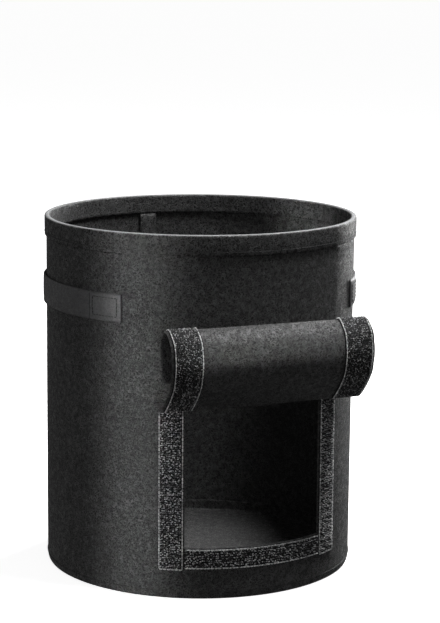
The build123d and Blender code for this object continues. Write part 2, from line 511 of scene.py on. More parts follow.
@dataclass
class Finishes:
    """Every finish of the bag, made once."""

    rim_height: float
    felt: bpy.types.Material = field(init=False)
    rim: bpy.types.Material = field(init=False)
    strap: bpy.types.Material = field(init=False)
    hook_ground: bpy.types.Material = field(init=False)
    loop_ground: bpy.types.Material = field(init=False)
    hooks: bpy.types.Material = field(init=False)
    pile: bpy.types.Material = field(init=False)
    pale_thread: bpy.types.Material = field(init=False)
    dark_thread: bpy.types.Material = field(init=False)

    def __post_init__(self) -> None:
        """Makes the materials."""
        self.felt = NeedleFelt("needle_felt").material()
        # The binding carries a painted highlight along its top fold.
        self.rim = NeedleFelt(
            "folded_felt_binding", worm_spacing_mm=3.0, edge_height_m=self.rim_height
        ).material()
        self.strap = NeedleFelt(
            "pressed_felt_strap", ground="49494a", fibre="6c6c6d", worm_spacing_mm=2.6,
            fibre_share=0.35, relief_mm=0.2,
        ).material()
        self.hook_ground = NylonTape("woven_hook_ground", Weave.HOOK_GROUND).material()
        self.loop_ground = NylonTape(
            "woven_loop_ground", Weave.LOOP_GROUND, ground="060607", yarn="3e3f41"
        ).material()
        # The hooks and loops are black nylon, and their pale tones are painted glints.
        self.hooks = NylonFibre("nylon_hooks", "0a0a0b", "f2f2f3").material()
        self.pile = NylonFibre("brushed_nylon_loops", "08080a", "f2f2f3", roughness=0.5).material()
        self.pale_thread = NylonFibre("polyester_thread", "1c1d1e", "f4f4f4", roughness=0.45).material()
        self.dark_thread = NylonFibre(
            "dark_polyester_thread", "0b0b0c", "1d1e1f", roughness=0.6
        ).material()


# ---- Bag ----

@dataclass
class WallForm:
    """The shape of the felt wall, which everything sewn on it follows.

    Angles run about Z from the front, positive towards +X. The wall's outside stands at its radius
    plus a slight unevenness: a sum of four slow waves round the bag and up it, 0.9 mm at most. Its
    lowest 6 mm turn in by 3 mm along a quarter of an ellipse.
    """

    radius: float
    felt: float
    top: float
    waves: tuple = ((3, 5.0, 0.35, 0.4), (5, 9.0, 0.25, 2.1), (2, 3.0, 0.2, 4.0), (9, 14.0, 0.1, 1.2))
    foot_height: float = 6 * MM
    foot_inset: float = 3 * MM

    def radius_at(self, angle: np.ndarray, height: np.ndarray) -> np.ndarray:
        """Radius of the wall's outside.

        Args:
            angle: Angles round the bag.
            height: Heights.

        Returns:
            The radius at each.
        """
        total = np.full(np.broadcast(angle, height).shape, self.radius)
        for count, rise, size_mm, phase in self.waves:
            total = total + size_mm * MM * np.sin(count * angle + phase) * np.cos(rise * height + phase)
        low = np.clip(1 - height / self.foot_height, 0, 1)
        return total - self.foot_inset * (1 - np.sqrt(1 - low**2))

    def at(self, angle: np.ndarray, height: np.ndarray, lift: np.ndarray | float = 0.0) -> np.ndarray:
        """Points near the wall: the radius plus the lift, carried round by the angle.

        Args:
            angle: Angles round the bag.
            height: Heights.
            lift: Distance from the wall's outside, negative inside the bag.

        Returns:
            The points, on the grid of the arguments.
        """
        out = self.radius_at(angle, height) + lift
        height = np.broadcast_to(height, out.shape)
        return np.stack([out * np.sin(angle), -out * np.cos(angle), height], axis=-1)

    def axes(self, angle: np.ndarray, turned: float = 0.0) -> np.ndarray:
        """Directions on the wall.

        Args:
            angle: Angles round the bag.
            turned: How far the first direction is turned up from the level.

        Returns:
            For each angle the direction along the wall, the one across that, and the one out.
        """
        zero = np.zeros_like(angle)
        right = np.stack([np.cos(angle), np.sin(angle), zero], axis=-1)
        up = np.stack([zero, zero, zero + 1], axis=-1)
        out = np.stack([np.sin(angle), -np.cos(angle), zero], axis=-1)
        c, s = math.cos(turned), math.sin(turned)
        return np.stack([c * right + s * up, -s * right + c * up, out], axis=-2)


@dataclass
class WallPatch:
    """Strip of cloth that lies on the wall, between two angles and two heights."""

    form: WallForm
    start: float
    end: float
    bottom: float
    top: float
    lift: float
    thickness: float
    step: float = 3.5 * MM
    pillow: float = 0.0

    @property
    def width(self) -> float:
        """Its width laid flat."""
        return (self.end - self.start) * self.form.radius

    def solid(self) -> Solid:
        """Cloth shell over the patch.

        The outer face stands higher in the middle by the pillow times the product of two half
        sine waves to the power of a quarter, so that the cloth is pulled down at its edges.

        Returns:
            The closed solid.
        """
        columns = max(4, round(self.width / self.step) + 1)
        rows = max(4, round((self.top - self.bottom) / self.step) + 1)
        across, up = np.linspace(0, 1, columns), np.linspace(0, 1, rows)
        angle = self.start + (self.end - self.start) * across[None, :]
        height = self.bottom + (self.top - self.bottom) * up[:, None]
        angle, height = np.broadcast_arrays(angle, height)
        crown = np.abs(np.sin(math.pi * across)[None, :] * np.sin(math.pi * up)[:, None]) ** 0.25
        outer = self.form.at(angle, height, self.lift + self.thickness + self.pillow * crown)
        inner = self.form.at(angle, height, self.lift)
        uv = np.stack([angle * self.form.radius, height], axis=-1)
        return cloth_shell(outer, inner, uv)


@dataclass
class WallSeam:
    """Row of stitches along the wall."""

    form: WallForm
    lift: float
    pitch: float = 4.5 * MM
    thread: float = 0.45 * MM

    def row(
        self, start: tuple[float, float], end: tuple[float, float], seed: int, tones: tuple = (0.35, 1.0)
    ) -> Solid:
        """Stitches on a straight run.

        Args:
            start: First angle and height.
            end: Last angle and height.
            seed: For the tone of each stitch.
            tones: Darkest and palest tone, as painted shade and light, from a stitch sunk in the cloth's
                shade to one fully in the light.

        Returns:
            The stitches as one solid.
        """
        rise = end[1] - start[1]
        run = (end[0] - start[0]) * self.form.radius
        length = math.hypot(run, rise)
        count = max(1, round(length / self.pitch))
        share = (np.arange(count) + 0.5) / count
        angle = start[0] + (end[0] - start[0]) * share
        height = start[1] + rise * share
        at = self.form.at(angle, height, self.lift)
        axes = self.form.axes(angle, math.atan2(rise, run))
        tone = np.random.default_rng(seed).uniform(*tones, count)
        return scatter(stitch_template(length / count * 0.84, self.thread), at, axes, tone)


@dataclass
class FeltBody:
    """Wall, base disc, back seam and rim binding."""

    form: WallForm
    looks: Finishes
    window_half: float
    window_bottom: float
    window_top: float
    rim_bottom: float
    rim_top: float
    base_edge: float
    lap_half: float
    lap_bottom: float
    lap_top: float
    groove: float = 0.9 * MM
    groove_width: float = 1.8 * MM
    base_gap: float = 0.1 * MM
    base_bend: float = 5 * MM
    base_sag: float = 0.5 * MM
    seam_inset: float = 2 * MM
    band_gap: float = 0.02 * MM
    pinch: float = 0.6 * MM
    pinch_width: float = 2.2 * MM
    stitch_rise: float = 3.4 * MM

    def wall(self) -> None:
        """Felt wall with the window cut out of it.

        A cylinder on a grid of angle and height whose lines fall on the window's edges, with the
        window's cells left out. The binding's seam presses a groove under its edge, a bell curve of
        the height.
        """
        front = np.linspace(-self.window_half, self.window_half, 45)
        rest = np.linspace(self.window_half, 2 * math.pi - self.window_half, 232)[1:-1]
        angle = np.concatenate([front, rest])
        # The rows are closer together at the foot, where the wall turns in.
        shares = [0, 0.015, 0.04, 0.07, 0.105, 0.16, 0.25, 0.4, 0.55, 0.7, 0.85]
        below = self.window_bottom * np.array(shares)
        opened = np.linspace(self.window_bottom, self.window_top, 38)
        above = np.linspace(self.window_top, self.rim_bottom - 7 * MM, 40)[1:]
        grooved = self.rim_bottom + np.array([-4.5, -3, -1.8, -0.8, 0.2, 1.2, 3]) * MM
        covered = np.linspace(self.rim_bottom + 6 * MM, self.form.top, 5)
        height = np.concatenate([below, opened, above, grooved, covered])
        grid_angle, grid_height = np.meshgrid(angle, height)
        bell = np.exp(-(((grid_height - self.rim_bottom) / self.groove_width) ** 2))
        outer = self.form.at(grid_angle, grid_height, -self.groove * bell)
        inner = self.form.at(grid_angle, grid_height, -self.form.felt)
        keep = np.ones((len(height) - 1, len(angle)), bool)
        keep[len(below) : len(below) + len(opened) - 1, : len(front) - 1] = False
        uv = np.stack([grid_angle * self.form.radius, grid_height], axis=-1)
        solid = cloth_shell(outer, inner, uv, keep, wrap=True)
        made = fasten(solid, "felt_wall", self.looks.felt, "wall_panel")

    def base(self) -> None:
        """Base disc with its edge turned up inside the wall.

        A square grid is drawn out to a disc: x is u times the root of 1 - v*v/2, and y the same
        with u and v changed over. The distance from the middle then runs along a path that is
        flat, turns up round a quarter circle and rises along the wall.
        """
        felt, corner = self.form.felt, self.base_bend
        flat = self.form.radius - felt - self.base_gap - corner
        quarter = corner * math.pi / 2
        rise = self.base_edge - corner
        reach = flat + quarter + rise
        u, v = np.meshgrid(np.linspace(-1, 1, 97), np.linspace(-1, 1, 97))
        x, y = u * np.sqrt(1 - v**2 / 2), v * np.sqrt(1 - u**2 / 2)
        share = np.hypot(x, y)
        # Points near the rim are drawn closer together, where the felt turns up.
        share = share * (1.25 - 0.25 * share**3)
        turn = np.arctan2(y, x)
        run = share * reach
        bend = np.clip((run - flat) / corner, 0, math.pi / 2)
        up = np.clip(run - flat - quarter, 0, None)
        out = np.minimum(run, flat) + corner * np.sin(bend)
        height = corner * (1 - np.cos(bend)) + up
        sag = self.base_sag * np.sin(9 * u + 1) * np.sin(7 * v + 2) * (run < flat * 0.97)

        def face(depth: float) -> np.ndarray:
            """Face of the disc at a depth in the felt."""
            far = out - depth * np.sin(bend)
            high = height + depth * np.cos(bend) + np.maximum(sag, 0) * (depth > 0)
            return np.stack([far * np.cos(turn), far * np.sin(turn), high], axis=-1)

        uv = np.stack([x * reach, y * reach], axis=-1)
        solid = cloth_shell(face(0.0), face(felt), uv)
        made = fasten(solid, "base_felt", self.looks.felt, "base_disc")

    def seams(self) -> None:
        """Lap of the back seam, and the stitches of the back, the base and the rim."""
        half, bottom, top, felt = self.lap_half, self.lap_bottom, self.lap_top, self.form.felt
        lap = WallPatch(self.form, math.pi - half, math.pi + half, bottom, top, -2 * felt, felt)
        made = fasten(lap.solid(), "back_lap", self.looks.felt, "back_seam_lap")
        seam = WallSeam(self.form, 0.0)
        line = half - self.seam_inset / self.form.radius
        lines = math.pi - line, math.pi + line
        back = [seam.row((angle, bottom), (angle, top), 11) for angle in lines]
        low, high = mid_height("base_stitches"), mid_height("rim_stitches")
        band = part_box("rim_binding")[1].x - self.form.radius
        base = seam.row((0, low), (2 * math.pi, low), 12)
        rim = WallSeam(self.form, band - 0.5 * MM).row((0, high), (2 * math.pi, high), 13)
        dark = self.looks.dark_thread
        fasten(Solid.join(back), "back_stitches", dark, "back_seam_stitches")
        fasten(base, "base_seam_stitches", dark, "base_stitches")
        fasten(rim, "binding_stitches", dark, "rim_stitches")

    def binding(self) -> None:
        """Felt band folded over the wall's top.

        Its section runs up the outside, over the top along half an ellipse and down the inside.
        The outside is drawn in at its stitches.
        """
        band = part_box("rim_binding")[1].x - self.form.radius
        leg = self.rim_top - band - self.rim_bottom
        climb = np.linspace(0, 1, 9)
        fold = np.linspace(0, math.pi, 11)[1:-1]
        felt = self.form.felt
        outside = np.stack([np.zeros(9), self.rim_bottom + leg * climb], axis=1)
        inside = np.stack([np.full(9, -felt), self.rim_bottom + leg * climb[::-1]], axis=1)
        over = np.stack([-felt / 2 + felt / 2 * np.cos(fold), np.full(9, self.rim_bottom + leg)], axis=1)
        skin = over + band * np.stack([np.cos(fold), np.sin(fold)], axis=1)
        drawn = (outside[:, 1] - self.rim_bottom - self.stitch_rise) / self.pinch_width
        thick = band - self.pinch * np.exp(-(drawn**2))
        pressed = outside + np.stack([thick, np.zeros(9)], axis=1)
        outer = np.concatenate([pressed, skin, inside - [band, 0]])
        inner = np.concatenate([outside + [self.band_gap, 0], over, inside - [self.band_gap, 0]])
        angle = np.linspace(0, 2 * math.pi, 289)[:-1]
        along, _ = np.meshgrid(np.arange(len(outer)), angle, indexing="ij")
        turn = np.broadcast_to(angle, along.shape)
        faces = [
            self.form.at(turn, np.broadcast_to(side[:, 1:], along.shape), side[:, :1])
            for side in (outer, inner)
        ]
        uv = np.stack([turn * self.form.radius, along * 2 * MM], axis=-1)
        solid = cloth_shell(*faces, uv, wrap=True)
        made = fasten(solid, "folded_binding", self.looks.rim, "rim_binding")

    def build(self) -> None:
        """Builds the felt body."""
        self.base()
        self.wall()
        self.seams()
        self.binding()


@dataclass
class HookTapes:
    """Three hook tapes round the window, with their hooks and stitches."""

    form: WallForm
    looks: Finishes
    hook_pitch: float = 2.5 * MM
    hook_height: float = 1.6 * MM
    ground: float = 1.0 * MM
    inset: float = 1.3 * MM
    cad_ground: float = 1.6 * MM
    gap: float = 0.05 * MM

    def patch(self, node: str) -> WallPatch:
        """Woven ground of a tape, where its CAD node lies on the wall.

        Args:
            node: The CAD node.

        Returns:
            The patch of the wall that it covers.
        """
        low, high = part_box(node)
        raised = self.form.radius + self.cad_ground
        if "bottom" in node:
            end = math.asin(high.x / raised)
            start = -end
        else:
            side = math.copysign(1, low.x)
            near, far = sorted((abs(low.x), abs(high.x)))
            inner, outer = math.asin(near / self.form.radius), math.asin(far / raised)
            start, end = sorted((side * inner, side * outer))
        return WallPatch(self.form, start, end, low.z, high.z, self.gap, self.ground)

    def hooks(self, patch: WallPatch, seed: int) -> Solid:
        """Bent monofilament hooks in staggered rows over a tape, which face left and right in turn.

        Args:
            patch: The tape's ground.
            seed: For the scatter, the lean and the tone of the hooks.

        Returns:
            The hooks as one solid.
        """
        path = np.array([[0, 0], [0, 0.55], [0.18, 0.85], [0.5, 0.95], [0.68, 0.7]]) * self.hook_height
        template = tube_template(path, np.array([0.34, 0.34, 0.36, 0.34, 0.22]) * self.hook_height)
        margin = 2.2 * MM
        radius = self.form.radius
        wide, tall = patch.width - 2 * margin, patch.top - patch.bottom - 2 * margin
        columns, rows = int(wide / self.hook_pitch), int(tall / self.hook_pitch)
        column, row = np.meshgrid(np.arange(columns + 1), np.arange(rows + 1))
        random = np.random.default_rng(seed)
        shift = (row % 2) * 0.5 + random.normal(0, 0.22, row.shape)
        across = (column + shift) / (columns + 1)
        angle = patch.start + (margin + across * wide) / radius
        up = (row + random.normal(0, 0.2, row.shape)) / max(rows, 1)
        height = patch.bottom + margin + up * tall
        angle, height, facing = angle.ravel(), height.ravel(), (1.0 - 2 * (row % 2)).ravel()
        at = self.form.at(angle, height, patch.lift + self.ground - ROOT)
        axes = self.form.axes(angle)
        lean = random.normal(0, 0.35, len(angle))[:, None]
        first = facing[:, None] * (axes[:, 0] * np.cos(lean) + axes[:, 1] * np.sin(lean))
        second = np.cross(axes[:, 2], first)
        # Painted glint: each hook gets a random share of the pale colour.
        tone = random.uniform(0, 1, len(angle)) ** 1.5
        return scatter(template, at, np.stack([first, second, axes[:, 2]], axis=1), tone)

    def build(self) -> None:
        """Builds the tapes, their hooks and the stitches that hold them."""
        seam = WallSeam(self.form, self.ground + 0.15 * MM, pitch=4.0 * MM, thread=0.7 * MM)
        inset = self.inset / self.form.radius
        rows = []
        for number, node in enumerate(("hook_tape_left", "hook_tape_right", "hook_tape_bottom")):
            patch = self.patch(node)
            made = fasten(patch.solid(), node + "_ground", self.looks.hook_ground, node)
            hooks = self.hooks(patch, 20 + number).make(node + "_hooks", self.looks.hooks)
            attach(hooks, "bag")
            bottom, top = patch.bottom + self.inset, patch.top - self.inset
            left, right = patch.start + inset, patch.end - inset
            # Each row gets its own range of tone, as painted shade and light; the lower row of the
            # bottom tape is painted fully lit.
            if "bottom" in node:
                rows.append(seam.row((left, bottom), (right, bottom), 31, (0.95, 1.0)))
                rows.append(seam.row((left, top), (right, top), 34, (0.2, 0.6)))
            else:
                rows += [seam.row((line, bottom), (line, top), 32, (0.2, 0.9)) for line in (left, right)]
                rows.append(seam.row((left, bottom), (right, bottom), 33, (0.4, 0.9)))
        pale = self.looks.pale_thread
        fasten(Solid.join(rows), "tape_stitches", pale, "hook_tape_stitches")


# ---- Flap ----

@dataclass
class FlapForm:
    """Curve of the rolled flap in the side view, in distance out and height.

    The felt follows a quadratic spline under the polygon of its hinges. Strip 0 runs from the seam
    to the middle of section 1, strip k from the middle of section k round hinge k + 1 to the
    middle of the next, and the last one to the free edge. Point and slope of a strip are those of
    a curve with three controls: (1-t)^2 A + 2wt(1-t) B + t^2 C, over the sum of its factors. The
    weight w draws it towards the hinge, as stiff felt fills its bends.
    """

    seam_out: float
    bends: np.ndarray
    free_end: np.ndarray
    half_width: float
    felt: float
    weight: float = 2.0
    strip_pitch: float = 22 * MM

    @property
    def last(self) -> int:
        """Number of the last strip."""
        return len(self.bends)

    def controls(self, strip: int) -> np.ndarray:
        """The three control points of a strip.

        Args:
            strip: Number of the strip.

        Returns:
            The points A, B and C.
        """
        ends = np.vstack([self.bends, self.free_end])
        middles = (ends[1:] + ends[:-1]) / 2
        if strip == 0:
            return np.array([[self.seam_out, self.bends[0, 1]], self.bends[0], middles[0]])
        if strip == self.last:
            return np.array([middles[-1], (middles[-1] + self.free_end) / 2, self.free_end])
        return np.array([middles[strip - 1], self.bends[strip], middles[strip]])

    def curve(self, strip: int, t: np.ndarray) -> tuple[np.ndarray, np.ndarray]:
        """Point and slope of a strip's curve, by the formula above.

        Args:
            strip: Number of the strip.
            t: Parameters from 0 to 1.

        Returns:
            The points, and the slopes at unit length.
        """
        a, b, c = self.controls(strip)
        t = t[..., None]
        first, middle, last = (1 - t) ** 2, 2 * self.weight * t * (1 - t), t**2
        whole = first + middle + last
        point = (first * a + middle * b + last * c) / whole
        # The slope has the direction of the sum of the legs, each with its share.
        slope = self.weight * (first * (b - a) + last * (c - b)) + t * (1 - t) * (c - a)
        return point, slope / np.linalg.norm(slope, axis=-1, keepdims=True)

    def side_view(self, strip: int, share: np.ndarray) -> tuple[np.ndarray, np.ndarray]:
        """Middle line of the felt, at even steps of its length.

        Args:
            strip: Number of the strip.
            share: Shares of the strip's length.

        Returns:
            The points, and the normals towards the loop tape.
        """
        t = np.linspace(0, 1, 65)
        steps = np.linalg.norm(np.diff(self.curve(strip, t)[0], axis=0), axis=1)
        passed = np.concatenate([[0], np.cumsum(steps)]) / steps.sum()
        point, slope = self.curve(strip, np.interp(share, passed, t))
        return point, np.stack([slope[..., 1], -slope[..., 0]], axis=-1)

    def length(self, strip: int) -> float:
        """Length of a strip's middle line."""
        point, _ = self.side_view(strip, np.linspace(0, 1, 33))
        return float(np.linalg.norm(np.diff(point, axis=0), axis=1).sum())

    def at(self, strip: int, share: np.ndarray, x: np.ndarray, lift: np.ndarray | float) -> np.ndarray:
        """Points of a strip: the middle line plus the lift times its normal.

        Args:
            strip: Number of the strip.
            share: Shares of the strip's length.
            x: Places across the flap.
            lift: Distance from the felt's middle, towards the loop tape.

        Returns:
            The points, on the grid of the arguments.
        """
        point, normal = self.side_view(strip, share)
        place = point + normal * np.asarray(lift)[..., None]
        return np.stack([np.broadcast_to(x, share.shape), -place[..., 0], place[..., 1]], axis=-1)

    def axes(self, strip: int, share: np.ndarray) -> np.ndarray:
        """Directions on a strip.

        Args:
            strip: Number of the strip.
            share: Shares of the strip's length.

        Returns:
            For each share the directions across the bag, along the strip, and out on the tape's side.
        """
        _, normal = self.side_view(strip, share)
        zero = np.zeros(len(share))
        right = np.stack([zero + 1, zero, zero], axis=1)
        out = np.stack([zero, -normal[:, 0], normal[:, 1]], axis=1)
        return np.stack([right, np.cross(out, right), out], axis=1)

    def cross(self, strip: int, share: float) -> Vector:
        """Point on the middle line, on the bag's middle plane."""
        point, _ = self.side_view(strip, np.array([share]))
        return Vector((0.0, -point[0, 0], point[0, 1]))

    def band(self, strip: int, shares: tuple, sides: tuple, lifts: tuple, step: float) -> Solid:
        """Shell over part of a strip.

        Args:
            strip: Number of the strip.
            shares: First and last share of the strip's length.
            sides: First and last X.
            lifts: Height of the upper and lower face above the felt's middle.
            step: Distance between grid lines across the flap.

        Returns:
            The closed solid, flat at its ends.
        """
        rows = 5 if shares[1] - shares[0] < 0.6 else 9
        columns = max(4, round((sides[1] - sides[0]) / step) + 1)
        share, x = np.meshgrid(np.linspace(*shares, rows), np.linspace(*sides, columns), indexing="ij")
        length = self.length(strip)
        uv = np.stack([x, share * length + strip * self.strip_pitch], axis=-1)
        return cloth_shell(
            self.at(strip, share, x, lifts[0]), self.at(strip, share, x, lifts[1]), uv, flat_ends=True
        )

    def join_bodies(self, piece: bpy.types.Object, strip: int) -> None:
        """Attaches a piece of the last strip to its body, and bakes the place of a piece of any other
        strip into its mesh.

        Args:
            piece: The piece.
            strip: Number of its strip.
        """
        if strip == self.last:
            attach(piece, f"flap_{strip}")
            return
        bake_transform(piece)


@dataclass
class RollUpFlap:
    """Felt flap with loop tape down both sides and across its lower edge."""

    wall: WallForm
    form: FlapForm
    looks: Finishes
    tape_width: float = 35 * MM
    tape_inset: float = 1.5 * MM
    ground: float = 1.0 * MM
    loop_pitch: float = 1.9 * MM
    loop_height: float = 1.2 * MM
    seam_felt: float = 2 * MM
    seam_inset: float = 2 * MM
    tape_seam_inset: float = 1.6 * MM
    stitch_pitch: float = 4 * MM

    def felt_strips(self) -> None:
        """Felt of the flap, one strip for each bend."""
        half, felt = self.form.half_width, self.form.felt
        for strip in range(self.form.last + 1):
            solid = self.form.band(strip, (0, 1), (-half, half), (felt / 2, -felt / 2), 4 * MM)
            made = solid.make(f"flap_felt_{strip}", self.looks.felt)
            self.form.join_bodies(made, strip)
            if strip:
                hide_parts(f"flap_section_{strip}")
            max(self.form.length(strip), LEAST_FLAT)

    def top_edge(self) -> None:
        """Felt between the wall and the first bend.

        Each line runs straight from a point of the arc on the wall to the point of the straight
        edge with the same share of the width.
        """
        half_turn = math.asin(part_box("flap_seam_strip")[1].x / (self.wall.radius + self.seam_felt))
        across = np.linspace(-1, 1, 59)
        height = np.full(59, mid_height("flap_top_edge"))
        on_wall = self.wall.at(across * half_turn, height, -0.3 * MM)
        straight = np.stack(
            [across * self.form.half_width, np.full(59, -self.form.seam_out), height], axis=1
        )
        share = np.linspace(0, 1, 11)[:, None, None]
        plane = on_wall[None] * (1 - share) + straight[None] * share
        lift = np.array([0, 0, self.form.felt / 2])
        solid = cloth_shell(plane + lift, plane - lift, plane[..., :2], flat_ends=True)
        made = fasten(solid, "top_edge", self.looks.felt, "flap_top_edge")

    def seam_strip(self) -> None:
        """Strip of felt that holds the flap's top edge on the wall, with its two rows of stitches."""
        low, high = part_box("flap_seam_strip")
        half = math.asin(high.x / (self.wall.radius + self.seam_felt))
        patch = WallPatch(
            self.wall, -half, half, low.z, high.z, 0.0, self.seam_felt, step=2.4 * MM, pillow=0.3 * MM
        )
        made = fasten(patch.solid(), "seam_strip", self.looks.felt, "flap_seam_strip")
        seam = WallSeam(self.wall, self.seam_felt + 0.1 * MM)
        ends = half - self.seam_inset / self.wall.radius
        heights = low.z + self.seam_inset, high.z - self.seam_inset
        rows = Solid.join([seam.row((-ends, z), (ends, z), 41) for z in heights])
        fasten(rows, "seam_strip_stitches", self.looks.dark_thread, "flap_seam_stitches")

    def tape_areas(self, strip: int) -> list[tuple[tuple, tuple]]:
        """Where the tape lies on a strip: both side bands, and the band on the lower edge.

        Args:
            strip: Number of the strip.

        Returns:
            For each band its first and last share of the length, and its first and last X.
        """
        half = self.form.half_width
        inner, outer = half - self.tape_width, half - self.tape_inset
        first = 0.35 if strip == 0 else 0.0
        areas = [((first, 1.0), (-outer, -inner)), ((first, 1.0), (inner, outer))]
        if strip == self.form.last - 1:
            areas.append(((0.5, 1.0), (-inner, inner)))
        if strip == self.form.last:
            areas.append(((0.0, 1.0), (-inner, inner)))
        return areas

    def loops(self, strip: int, shares: tuple, sides: tuple, seed: int) -> Solid:
        """Brushed loops of the tape: small arches that lean every way.

        Args:
            strip: Number of the strip.
            shares: First and last share of the strip's length.
            sides: First and last X.
            seed: For the scatter, the turn, the lean and the tone of the loops.

        Returns:
            The loops as one solid.
        """
        turn = np.linspace(0, math.pi, 5)
        path = np.stack([-0.55 * np.cos(turn), np.sin(turn)], axis=1) * self.loop_height
        template = tube_template(path, np.array([0.14, 0.16, 0.17, 0.16, 0.14]) * self.loop_height)
        length = self.form.length(strip) * (shares[1] - shares[0])
        rows = max(2, round(length / self.loop_pitch))
        columns = round((sides[1] - sides[0] - 2 * MM) / self.loop_pitch)
        row, column = np.meshgrid(np.arange(rows), np.arange(columns), indexing="ij")
        random = np.random.default_rng(seed)
        place = (row + 0.5 + random.uniform(-0.3, 0.3, row.shape)).ravel() / rows
        share = shares[0] + (shares[1] - shares[0]) * place
        place = (column + 0.5 + random.uniform(-0.4, 0.4, row.shape)).ravel() / columns
        x = sides[0] + MM + (sides[1] - sides[0] - 2 * MM) * place
        at = self.form.at(strip, share, x, self.form.felt / 2 + self.ground - ROOT)
        axes = self.form.axes(strip, share)
        spin = random.uniform(0, 2 * math.pi, len(share))[:, None]
        lean = random.uniform(-0.6, 0.6, len(share))[:, None]
        first = axes[:, 0] * np.cos(spin) + axes[:, 1] * np.sin(spin)
        beside = np.cross(axes[:, 2], first)
        up = axes[:, 2] * np.cos(lean) + beside * np.sin(lean)
        # Painted glint: each loop gets a random share of the pale colour.
        tone = random.uniform(0, 1, len(share)) ** 3
        return scatter(template, at, np.stack([first, np.cross(up, first), up], axis=1), tone)

    def tapes(self) -> None:
        """Loop tapes with their loops and stitches, strip by strip."""
        felt, inset = self.form.felt, self.tape_seam_inset
        lifts = (felt / 2 + self.ground, felt / 2)
        for strip in range(self.form.last + 1):
            areas = self.tape_areas(strip)
            grounds = [self.form.band(strip, shares, sides, lifts, 3 * MM) for shares, sides in areas]
            made = Solid.join(grounds).make(f"loop_tape_{strip}", self.looks.loop_ground)
            piles = [
                self.loops(strip, shares, sides, 50 + 3 * strip + place)
                for place, (shares, sides) in enumerate(areas)
            ]
            pile = Solid.join(piles).make(f"tape_loops_{strip}", self.looks.pile)
            length = self.form.length(strip)
            rows = [
                self.stitches(strip, shares, (x, x), 81 + strip)
                for shares, sides in areas[:2]
                for x in (sides[0] + inset, sides[1] - inset)
            ]
            if strip == self.form.last:
                rows.append(self.stitches(strip, (0.85, 0.85), areas[2][1], 80))
            stitches = Solid.join(rows).make(f"tape_seam_{strip}", self.looks.pale_thread)
            for piece, slot in ((made, "loop_tape"), (pile, "loop_tape"), (stitches, "thread")):
                self.form.join_bodies(piece, strip)
            if strip:
                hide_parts(f"flap_loop_tape_{strip}")

    def stitches(self, strip: int, shares: tuple, sides: tuple, seed: int) -> Solid:
        """Row of stitches on a strip, along it or across it.

        Args:
            strip: Number of the strip.
            shares: First and last share of the strip's length.
            sides: First and last X, which are the same on a row along the strip.
            seed: For the tone of each stitch.

        Returns:
            The stitches as one solid.
        """
        length = self.form.length(strip) * (shares[1] - shares[0])
        run = sides[1] - sides[0]
        whole = math.hypot(length, run)
        count = max(1, round(whole / self.stitch_pitch))
        place = (np.arange(count) + 0.5) / count
        share = shares[0] + (shares[1] - shares[0]) * place
        x = sides[0] + run * place
        at = self.form.at(strip, share, x, self.form.felt / 2 + self.ground + 0.2 * MM)
        axes = self.form.axes(strip, share)
        if run == 0:
            axes = np.stack([axes[:, 1], -axes[:, 0], axes[:, 2]], axis=1)
        tone = np.random.default_rng(seed).uniform(0.4, 1.0, count)
        return scatter(stitch_template(whole / count * 0.9, 0.55 * MM), at, axes, tone)

    def build(self) -> None:
        """Builds the flap."""
        self.top_edge()
        self.seam_strip()
        self.felt_strips()
        self.tapes()


# ---- Handles ----

class Side(Enum):
    """The two sides that have a handle, with the angle of its middle from the front."""

    LEFT = -math.pi / 2
    RIGHT = math.pi / 2


